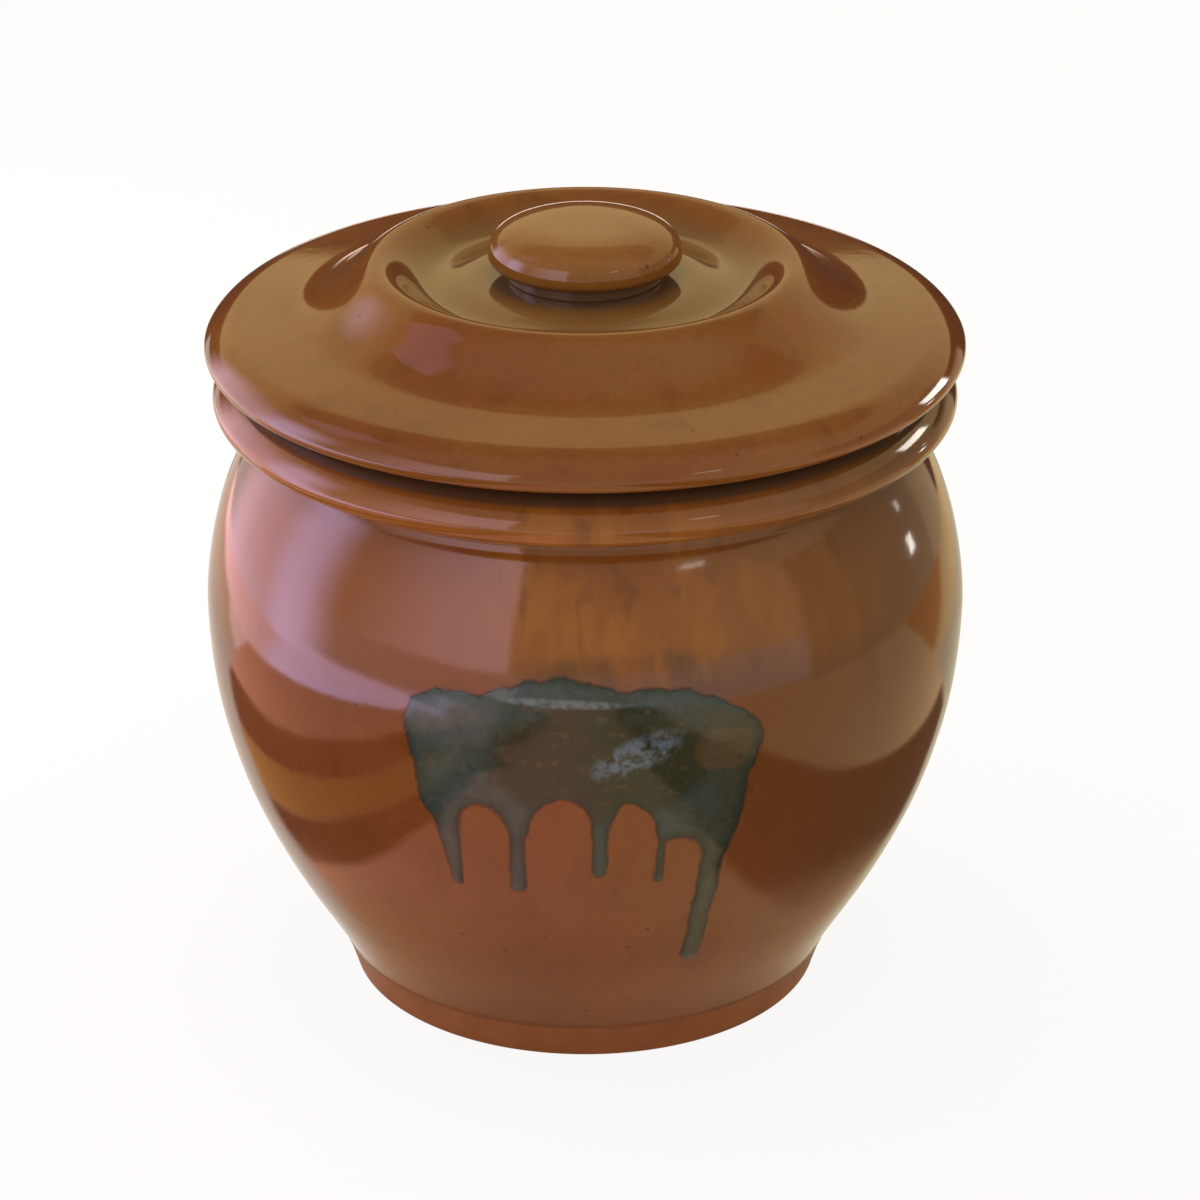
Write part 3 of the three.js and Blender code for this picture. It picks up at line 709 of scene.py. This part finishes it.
class Socket:
    """One output in a node tree. Arithmetic on values adds Math nodes, and node() adds any other."""

    def __init__(self, tree, output=None):
        self.tree = tree
        self.output = output

    def node(self, kind, settings=None, sockets=None, output=0):
        """Adds a node, with its settings first and then its sockets' values or links."""
        made = self.tree.nodes.new(kind)
        for name, value in (settings or {}).items():
            setattr(made, name, value)
        for name, value in (sockets or {}).items():
            if isinstance(value, Socket):
                self.tree.links.new(value.output, made.inputs[name])
            else:
                made.inputs[name].default_value = value
        return Socket(self.tree, made.outputs[output] if len(made.outputs) else None)

    def maths(self, operation, first, second):
        """A Math node on two values."""
        return self.node("ShaderNodeMath", {"operation": operation}, {0: first, 1: second})

    def __add__(self, other):
        return self.maths("ADD", self, other)

    def __sub__(self, other):
        return self.maths("SUBTRACT", self, other)

    def __rsub__(self, other):
        return self.maths("SUBTRACT", other, self)

    def __mul__(self, other):
        return self.maths("MULTIPLY", self, other)

    def __pow__(self, other):
        return self.maths("POWER", self, other)

    __radd__ = __add__
    __rmul__ = __mul__

    def greater(self, other):
        """The greater of two values."""
        return self.maths("MAXIMUM", self, other)

    def between(self, low, high):
        """0 below low, 1 above high and a smooth rise between them."""
        settings = {"interpolation_type": "SMOOTHSTEP"}
        return self.node("ShaderNodeMapRange", settings, {0: self, 1: low, 2: high, 3: 0.0, 4: 1.0})

    def within(self, low, high, soft):
        """1 from low to high and 0 outside, with smooth edges that reach soft to either side."""
        return self.between(low - soft, low + soft) - self.between(high - soft, high + soft)

    def mix(self, first, second):
        """The first colour where this is 0 and the second where it is 1."""
        first, second = (tone if isinstance(tone, Socket) else (*tone, 1) for tone in (first, second))
        return self.node("ShaderNodeMix", {"data_type": "RGBA"}, {0: self, 6: first, 7: second}, 2)

    def noise(self, scale, detail=2.0, upright=1.0, place=(0.0, 0.0, 0.0)):
        """Cloudy noise round a half. Its clouds are about a metre divided by scale across, and longer
        up and down where upright is below 1.
        """
        moved = {"Vector": self, "Scale": (1.0, 1.0, upright), "Location": place}
        moved = self.node("ShaderNodeMapping", {}, moved)
        return self.node("ShaderNodeTexNoise", {}, {"Vector": moved, "Scale": scale, "Detail": detail})

    def specks(self, scale, size, share):
        """Round dots: near the middle of some cells of a Voronoi pattern, picked by their tint."""
        cell = {"Vector": self, "Scale": scale}
        away = self.node("ShaderNodeTexVoronoi", {}, cell, "Distance")
        tint = self.node("ShaderNodeTexVoronoi", {}, cell, "Color")
        tint = self.node("ShaderNodeSeparateColor", {}, {"Color": tint}, "Red")
        return self.maths("LESS_THAN", tint, share) * (1 - away.between(size * 0.5, size))

    def mark(self, name):
        """The number that a piece keeps under this name at each of its points."""
        return self.node("ShaderNodeAttribute", {"attribute_name": name}, {}, "Fac")


def new_finish(name):
    """An empty material, its object coordinates in metres, and x, y, z and radius in millimetres."""
    material = bpy.data.materials.new(name)
    material.use_nodes = True
    material.node_tree.nodes.clear()
    place = Socket(material.node_tree).node("ShaderNodeTexCoord", output="Object")
    parts = (place.node("ShaderNodeSeparateXYZ", {}, {"Vector": place}, part) for part in "XYZ")
    x, y, z = (part * (1 / MM) for part in parts)
    return material, place, (x, y, z, (x * x + y * y) ** 0.5)


def finish_surface(place, colour, roughness, height, bump_depth, cover=1.0):
    """Ends a material: a glazed surface of this colour and roughness, with a bump of this depth.

    cover is how far the glaze hides what lies under it.
    """
    bump = {"Strength": 1.0, "Distance": bump_depth * MM, "Height": height}
    normal = place.node("ShaderNodeBump", {}, bump)
    sockets = {"Base Color": colour, "Roughness": roughness, "Normal": normal, "Alpha": cover,
               "IOR": GLAZE_INDEX}
    surface = place.node("ShaderNodeBsdfPrincipled", {}, sockets, "BSDF")
    place.node("ShaderNodeOutputMaterial", {}, {"Surface": surface})


def brown_tones(place, light, middle, dark):
    """Brown glaze: clouds of two tones, darker threads that ran down, fine grain and iron specks."""
    clouds = place.noise(17, 4).between(0.36, 0.64)
    threads = place.noise(70, 3, 0.16).between(0.52, 0.75)
    grain = place.noise(650, 2).between(0.3, 0.7)
    colour = clouds.mix(middle, light)
    colour = (threads * 0.45).mix(colour, dark)
    colour = (grain * 0.22).mix(colour, dark)
    return (place.specks(190, 0.16, 0.09) * 0.7).mix(colour, IRON_SPECK)


def edge_break(place, colour, light, dark):
    """Glaze runs thin and pale over sharp bulges, and pools dark in hollows."""
    turn = place.mark("bend")
    colour = (turn.between(0.1, 0.5) * 0.35).mix(colour, light)
    return ((0 - turn).between(0.06, 0.4) * 0.5).mix(colour, dark)


def glossy_height(place):
    """The small relief of a glossy glaze: soft swells, a fine skin and a few pits."""
    return 0.7 * place.noise(330, 2) + 0.12 * place.noise(1400, 1) - 0.8 * place.specks(120, 0.12, 0.05)


def bare_clay(place):
    """Unglazed stoneware: buff to rust, sandy, with dark grains."""
    rust = place.noise(55, 4).between(0.35, 0.68)
    grain = place.noise(1500, 2).between(0.35, 0.7)
    colour = rust.mix(CLAY_BUFF, CLAY_RUST)
    colour = (grain * 0.35).mix(colour, CLAY_GRAIN)
    return (place.specks(420, 0.2, 0.12) * 0.6).mix(colour, CLAY_SPECK)


def patch(x, z, place, size, turn=0.0):
    """1 in the middle of a turned ellipse seen from the front, and 0 from its edge on."""
    cosine, sine = math.cos(turn), math.sin(turn)
    right, up = x - place[0], z - place[1]
    along = right * (cosine / size[0]) + up * (sine / size[0])
    across = up * (cosine / size[1]) - right * (sine / size[1])
    return (1 - along * along - across * across).between(0.0, 0.8)


def crock_finish():
    """Red-brown glaze: ochre runs and a dark halo above the pour, painted shade with an olive tint on
    the right side, a wiped foot, painted shade in the gap below the lid, and bare clay on the rim's seat
    and under the foot.
    """
    material, place, (x, y, z, radius) = new_finish("crock_brown_glaze")
    colour = brown_tones(place, *RED_BROWN)
    warm = z.between(*WARM_HEIGHT) * (1 - x.between(*WARM_SIDE)) * (1 - y.between(*WARM_BACK))
    colour = (warm * 0.5).mix(colour, WARM_BROWN)
    front = (1 - y.between(*FRONT_DEPTH)) * x.within(*FRONT_BAND)
    above_pour = z.between(*RUNS_HEIGHT) * front
    runny = place.noise(120, 3, 0.14).between(0.42, 0.66)
    ochre = above_pour.greater(0.6 * z.between(*NECK_HEIGHT))
    colour = (ochre * (0.5 + 0.4 * runny)).mix(colour, RUN_OCHRE)
    drips = place.noise(150, 2, 0.06).between(0.58, 0.72) * above_pour
    colour = (drips * 0.4).mix(colour, RUN_DARK)
    smoke = place.noise(130, 3, 0.25).between(0.3, 0.66)
    halo = patch(x, z, *HALO_PATCH) * front * smoke
    colour = (halo * 0.65).mix(colour, HALO_DARK)
    # painted shade: the right side darker and more olive, as less light falls on it
    colour = (x.between(*RIGHT_SIDE) * 0.7).mix(colour, RIGHT_OLIVE)
    colour = edge_break(place, colour, THIN_GLAZE, POOLED_GLAZE)
    ragged = z + FOOT_RAGGED * place.noise(110, 3)
    foot = 1 - ragged.between(*FOOT_LINE)
    slip = place.noise(80, 3).between(0.3, 0.7).mix(*FOOT_SLIP)
    colour = foot.mix(colour, slip)
    # painted shade on the rim's top, where the lid overhangs it
    gap = z.between(*CROCK_GAP_HEIGHT) * radius.between(*GAP_RADIUS)
    colour = (gap * 0.75).mix(colour, CROCK_GAP)
    seat = radius.between(*CROCK_SEAT_INSIDE) * (1 - radius.between(*SEAT_OUTSIDE))
    seat = ragged.between(*CROCK_SEAT_HEIGHT) * seat
    recess = (1 - z.between(*RECESS_HEIGHT)) * (1 - radius.between(*RECESS_RADIUS))
    under = (1 - ragged.between(*UNDERSIDE_HEIGHT)).greater(recess)
    bare = seat.greater(under)
    colour = bare.mix(colour, bare_clay(place))
    dull = (foot * 0.42).greater(bare * 0.62)
    roughness = 0.065 + 0.05 * place.noise(45, 2) + dull
    height = glossy_height(place) + dull * place.noise(1700, 2) * 6
    finish_surface(place, colour, roughness, height, GLAZE_BUMP)
    return material


def lid_finish(name, light, middle, dark):
    """Ochre-brown glaze of the lid and the knob: olive in the moat, a red blush on the ring's slope,
    painted shade below the knob's cap and in the gap, and a bare seat where the lid rests on the rim.
    """
    material, place, (_, _, z, radius) = new_finish(name)
    colour = brown_tones(place, light, middle, dark)
    colour = edge_break(place, colour, light, dark)
    moat = (1 - radius.between(*MOAT_RADIUS)) * z.between(*MOAT_FLOOR) * (1 - z.between(*MOAT_BRIM))
    colour = (moat * 0.65).mix(colour, MOAT_OLIVE)
    clouds = place.noise(55, 4, place=(0.2, 0.0, 0.1)).between(0.5, 0.64)
    colour = (clouds * radius.within(*BLUSH_BAND) * 0.5).mix(colour, RED_BLUSH)
    below_cap = z.between(*KNOB_SHADE_LOWER) * (1 - z.between(*KNOB_SHADE_UPPER))
    below_cap = (1 - radius.between(*KNOB_SHADE_RADIUS)) * below_cap
    colour = (below_cap * 0.8).mix(colour, KNOB_SHADE)
    # painted shade on the lid's underside by the gap
    gap = (1 - z.between(*LID_GAP_HEIGHT)) * radius.between(*GAP_RADIUS)
    colour = (gap * 0.4).mix(colour, LID_GAP)
    seat = radius.between(*LID_SEAT_INSIDE) * (1 - radius.between(*SEAT_OUTSIDE))
    seat = (1 - z.between(*LID_SEAT_HEIGHT)) * seat
    colour = seat.mix(colour, bare_clay(place))
    roughness = 0.05 + 0.04 * place.noise(45, 2) + 0.6 * seat
    finish_surface(place, colour, roughness, glossy_height(place), GLAZE_BUMP)
    return material


def pour_finish():
    """Grey-green glaze: blue-grey at the left with a painted pale blue sheen at its top, brown and olive
    to the right, thin and teal at its edge, with painted pale glints on its ridge and its slanting lump.
    It fades out raggedly along its outline.
    """
    material, place, (x, _, z, _) = new_finish("pour_grey_glaze")
    depth = place.mark("depth")
    wisps = place.noise(150, 4)
    colour = wisps.between(0.3, 0.7).mix(*POUR_GREYS)
    # painted sheen: the pale blue reflection of a window on the upper left of the pour
    colour = (patch(x, z, *PALE_BLUE_PATCH) * 0.3).mix(colour, POUR_PALE_BLUE)
    cloud = 0.6 * (place.noise(150, 4, place=(0.3, 0.1, 0.2)) - 0.5)
    middle = (patch(x, z, *BROWN_PATCH) + cloud).between(0.1, 0.7)
    colour = (middle * 0.85).mix(colour, POUR_BROWN)
    olive = (x * 0.02 + cloud).between(0.3, 0.8)
    colour = (olive * 0.8).mix(colour, POUR_OLIVE)
    rust = (patch(x, z, *RUST_PATCH) + cloud * 1.5).between(0.3, 0.9)
    colour = (rust * 0.3).mix(colour, POUR_RUST)
    colour = (place.noise(420, 4).between(0.55, 0.75) * 0.35).mix(colour, POUR_SAND)
    blots = place.noise(520, 3, place=(0.1, 0.4, 0.0)).between(0.52, 0.7)
    colour = (blots * 0.4).mix(colour, POUR_DARK)
    colour = (place.specks(260, 0.26, 0.12) * 0.35).mix(colour, POUR_SPECK)
    thin = 1 - (depth + wisps * 2.0).between(1.6, 5.0)
    colour = (thin * 0.75).mix(colour, POUR_TEAL)
    broken = place.noise(480, 3).between(0.34, 0.66)
    # painted highlights: pale glints on the ridge and on the slanting lump
    ridge = patch(x, z, *RIDGE_PATCH) * (0.3 + 0.7 * broken)
    colour = (ridge * 0.45).mix(colour, RIDGE_GLINT)
    slant = patch(x, z, *SLANT_PATCH) * broken
    colour = (slant * 0.55).mix(colour, SLANT_GLINT)
    streaks = place.noise(170, 3, 0.2).between(0.3, 0.75)
    ragged = 0.7 * place.noise(380, 3) + z.between(*STREAK_HEIGHT) * streaks * 1.6
    cover = (depth - ragged).between(-0.4, 1.3)
    roughness = 0.11 + 0.1 * wisps
    height = 0.6 * place.noise(320, 3) + 0.4 * place.noise(700, 3)
    finish_surface(place, colour, roughness, height, COAT_BUMP, cover)
    return material


def weight_finish():
    """Satin brown glaze, dark in patches, rubbed pale along its upper edges."""
    material, place, (_, _, z, _) = new_finish("weight_satin_glaze")
    colour = brown_tones(place, *SATIN_BROWN)
    rubbed = z.between(*RUBBED_HEIGHT) * place.noise(190, 3).between(0.52, 0.7)
    colour = (rubbed * 0.35).mix(colour, RUBBED_EDGE)
    roughness = 0.26 + 0.14 * place.noise(60, 3)
    height = 0.7 * place.noise(260, 3) + 0.3 * place.noise(1300, 2)
    finish_surface(place, colour, roughness, height, COAT_BUMP)
    return material


def add_floor():
    """A wide square floor of paper, which takes shadows. Where camera, mirror and see-through rays meet
    it, most of its white is its own.
    """
    corners = np.array(((-1, -1, 0), (1, -1, 0), (1, 1, 0), (-1, 1, 0)))
    floor = make_piece("floor", corners * FLOOR_REACH + (0, 0, FLOOR_LEVEL), [(0, 1, 2, 3)])
    material, place, _ = new_finish("floor_white")
    kinds = ("Is Camera Ray", "Is Glossy Ray", "Is Transmission Ray")
    camera, mirror, through = (place.node("ShaderNodeLightPath", output=kind) for kind in kinds)
    seen = place.maths("MINIMUM", camera + mirror + through, 1.0)
    paper = place.node("ShaderNodeBsdfDiffuse", {}, {"Color": FLOOR_PAPER})
    white = place.node("ShaderNodeEmission", {}, {"Color": FLOOR_WHITE, "Strength": 1.0})
    shown = place.node("ShaderNodeMixShader", {}, {0: seen * FLOOR_WHITE_SHARE, 1: paper, 2: white})
    place.node("ShaderNodeOutputMaterial", {}, {"Surface": shown})
    floor.data.materials.append(material)


def add_lamp(name, direction, distance, size, radiance):
    """A rectangle of light that faces the crock, unseen in the glaze."""
    lamp = bpy.data.lights.new(name, "AREA")
    lamp.shape = "RECTANGLE"
    width, height = size[0] * MM, size[1] * MM
    lamp.size, lamp.size_y = width, height
    strongest = max(radiance)
    lamp.color = [part / strongest for part in radiance]
    lamp.energy = strongest * math.pi * width * height
    holder = bpy.data.objects.new(name, lamp)
    towards = Vector(direction).normalized()
    holder.location = Vector((0, 0, LAMP_AIM * MM)) + towards * distance * MM
    holder.rotation_euler = towards.to_track_quat("Z", "Y").to_euler()
    holder.visible_camera = holder.visible_glossy = False
    bpy.context.scene.collection.objects.link(holder)


def only_mirrored(piece, material):
    """Makes a piece a part of the studio that shows in the glaze alone and lights nothing."""
    piece.data.materials.append(material)
    material.cycles.emission_sampling = "NONE"
    piece.visible_camera = piece.visible_diffuse = piece.visible_shadow = False


def add_card(name, ends, distance, edges, soft, radiance):
    """A card bent round the crock: x is the distance times the sine of an angle and y times its cosine,
    between two angles in degrees and between two heights. soft holds the shares that fade out at the
    first end, the last end and the top.
    """
    share = np.linspace(0, 1, CARD_COLUMNS)
    angle = np.radians(ends[0] + share * (ends[1] - ends[0]))
    level = np.full(CARD_COLUMNS, edges[0])
    foot = np.stack((distance * np.sin(angle), distance * np.cos(angle), level), axis=1)
    points = np.concatenate((foot, foot + (0, 0, edges[1] - edges[0])))
    number = np.arange(CARD_COLUMNS - 1)
    faces = np.stack((number, number + 1, number + CARD_COLUMNS + 1, number + CARD_COLUMNS), axis=1)
    marks = {"along": np.tile(share, 2), "up": np.repeat((0.0, 1.0), CARD_COLUMNS)}
    material, place, _ = new_finish(name)
    along, up = (place.mark(mark) for mark in marks)
    inside = along.between(0.0, soft[0]) * (1 - along.between(1 - soft[1], 1.0))
    inside = inside * (1 - up.between(1 - soft[2], 1.0))
    clear = place.node("ShaderNodeBsdfTransparent")
    glow = place.node("ShaderNodeEmission", {}, {"Color": (*radiance, 1), "Strength": 1.0})
    shown = place.node("ShaderNodeMixShader", {}, {0: inside, 1: clear, 2: glow})
    place.node("ShaderNodeOutputMaterial", {}, {"Surface": shown})
    only_mirrored(make_piece(name, points, faces.tolist(), marks), material)


def add_table():
    """A table top for mirrors, a flat ring between two radii: brown with a stripe and shaded strips at
    its sides, bright past its slanting back edge and by the window, and dark at the far end.
    """
    angle = np.linspace(0, 2 * np.pi, TABLE_COLUMNS, endpoint=False)
    way = np.stack((np.cos(angle), np.sin(angle), np.zeros(TABLE_COLUMNS)), axis=1)
    points = np.concatenate((way * TABLE_INSIDE, way * TABLE_OUTSIDE))
    _, _, faces = ring_faces(2, TABLE_COLUMNS)
    material, place, (x, y, _, radius) = new_finish("table_brown")
    aside = x.maths("ABSOLUTE", x, 0.0)
    side = x.between(*TABLE_MIDDLE)

    def left_to_right(left, right):
        return left + side * (right - left)

    colour = side.mix(*TABLE_BROWN)
    colour = x.within(*STRIPE_BAND).mix(colour, TABLE_STRIPE)
    outer, inner, right = (x.within(*band) for band in SHADE_BANDS)
    colour = (outer + inner + right).mix(colour, TABLE_SHADE)
    colour = (1 - radius.between(*BY_CROCK_RADIUS)).mix(colour, TABLE_BY_CROCK)
    bright = aside.between(*BACK_OUT_SIDE).mix(side.mix(*TABLE_BACK_NEAR), side.mix(*TABLE_BACK_OUT))
    beyond = (aside - BEYOND_SIDE - BEYOND_LEAN * y).between(*BEYOND_EDGE)
    bright = beyond.mix(bright, side.mix(*TABLE_BACK_BEYOND))
    wedge = y * left_to_right(*WEDGE_LEAN) + left_to_right(*WEDGE_SIDE) - aside
    wedge = wedge.between(*WEDGE_EDGE) * y.between(*WEDGE_START)
    colour = y.between(*TABLE_BACK_EDGE).greater(wedge).mix(colour, bright)
    by_window = 1 - x.between(*WINDOW_SIDE)
    colour = by_window.mix(colour, y.between(*WINDOW_BACK).mix(*TABLE_WINDOW))
    far = y.between(*FAR_START) * (1 - aside.between(*FAR_SIDE))
    colour = far.mix(colour, TABLE_FAR)
    glow = place.node("ShaderNodeEmission", {}, {"Color": colour, "Strength": 1.0})
    place.node("ShaderNodeOutputMaterial", {}, {"Surface": glow})
    only_mirrored(make_piece("table_top", points, faces[:, ::-1].tolist()), material)


def add_light():
    """A soft room with lamps to the left, front left and above, and what the glaze mirrors of it."""
    world = bpy.data.worlds.new("room")
    bpy.context.scene.world = world
    world.use_nodes = True
    world.node_tree.nodes.clear()
    start = Socket(world.node_tree)
    way = start.node("ShaderNodeTexCoord", output="Generated")
    right, back, up = (start.node("ShaderNodeSeparateXYZ", {}, {"Vector": way}, part) for part in "XYZ")
    behind = up.between(*DARK_WALL_TOP).mix(ROOM_DARK_WALL, ROOM_BACK_WALL)
    behind = up.between(*CEILING_START).mix(behind, ROOM_CEILING)
    before = right.between(*FRONT_CHANGE).mix(*ROOM_FRONT)
    colour = back.between(*BACK_START).mix(before, behind)
    light = start.node("ShaderNodeBackground", {}, {"Color": colour, "Strength": 1.0})
    start.node("ShaderNodeOutputWorld", {}, {"Surface": light})
    for lamp in LAMPS:
        add_lamp(*lamp)
    for card in CARDS:
        add_card(*card)
    add_table()


def add_camera():
    """The photograph's view: from the front, a little above, with a long lens."""
    camera = bpy.data.cameras.new("camera")
    camera.lens = CAMERA_LENS
    camera.sensor_width = CAMERA_SENSOR
    camera.shift_x = CAMERA_SHIFT
    holder = bpy.data.objects.new("camera", camera)
    tilt = math.radians(CAMERA_TILT)
    back = CAMERA_DISTANCE * math.cos(tilt)
    height = CAMERA_AIM + CAMERA_DISTANCE * math.sin(tilt)
    holder.location = (0, -back * MM, height * MM)
    holder.rotation_euler = (math.pi / 2 - tilt, 0, 0)
    bpy.context.scene.collection.objects.link(holder)
    bpy.context.scene.camera = holder


def dress(piece, body, nodes, finish):
    """Gives a piece its finish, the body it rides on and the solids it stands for."""
    piece.data.materials.append(finish)
    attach(piece, body)
    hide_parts(*nodes)


def build():
    """Makes every piece of the crock, then the floor, the light and the camera."""
    dress(turned_piece("crock_pot", crock_outline(), CROCK_COLUMNS, crock_raised),
          "crock_body", ["crock"], crock_finish())
    dress(poured_coat(), "crock_body", ["glaze_pour"], pour_finish())
    dress(turned_piece("crock_lid", lid_outline(), LID_COLUMNS),
          "lid_body", ["lid"], lid_finish("lid_ochre_glaze", *OCHRE))
    dress(turned_piece("lid_grip", knob_outline(), KNOB_COLUMNS),
          "lid_body", ["lid_knob"], lid_finish("knob_honey_glaze", *HONEY))
    satin = weight_finish()
    dress(half_moon("half_weight_left", -1), "weight_left_body", ["weight_left"], satin)
    dress(half_moon("half_weight_right", 1), "weight_right_body", ["weight_right"], satin)
    add_floor()
    add_light()
    add_camera()
    bpy.context.scene.view_settings.view_transform = "Standard"


build()
